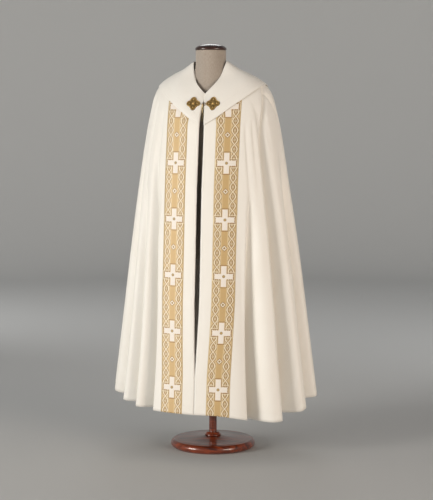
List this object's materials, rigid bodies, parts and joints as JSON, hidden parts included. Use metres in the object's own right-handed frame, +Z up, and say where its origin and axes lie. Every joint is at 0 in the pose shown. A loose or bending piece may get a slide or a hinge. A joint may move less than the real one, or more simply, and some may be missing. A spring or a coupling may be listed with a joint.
{
  "type": "cope vestment on a limbless dress form with a turned stand",
  "caption": "Half-circle cope with orphrey bands, a broad pointed shoulder collar and a hooked clasp with hanging chain, worn by a limbless dress form on a turned wooden stand.",
  "frame": {"origin": "centre of the underside of the stand's base", "axes": "+Z up; the wearer faces -Y, so the opening is on the -Y side; the wearer's left is +X"},
  "size_m": [0.8736, 0.535, 1.6643],
  "materials": {
    "satin": "ivory polyester satin, soft sheen",
    "brocade": "gold brocade band with ivory crosses",
    "clasp_brass": "antique brass, darkened in the recesses",
    "linen": "plain undyed linen jersey stretched over the form",
    "cap_wood": "dark brown varnish, glossy",
    "stand_wood": "reddish brown varnish, glossy"
  },
  "bodies": {
    "garment": {"cope_left_half": "satin", "cope_right_half": "satin", "shoulder_collar": "satin", "orphrey_left": "brocade", "orphrey_right": "brocade", "clasp_plate_left": "clasp_brass", "clasp_plate_right": "clasp_brass", "clasp_eye": "clasp_brass", "clasp_hook": "clasp_brass", "form_torso": "linen", "neck_cap": "cap_wood", "stand_pole": "stand_wood", "stand_base": "stand_wood"},
    "chain": {"chain_link_1": "clasp_brass", "chain_link_2": "clasp_brass", "chain_link_3": "clasp_brass", "chain_link_4": "clasp_brass", "chain_link_5": "clasp_brass", "chain_link_6": "clasp_brass"}
  },
  "joints": [
    {"name": "chain_swing", "type": "hinge", "parent": "garment", "child": "chain", "pos_m": [-0.0015, -0.13164, 1.419], "axis": [-1, 0, 0], "range_deg": [-6, 75]}
  ]
}
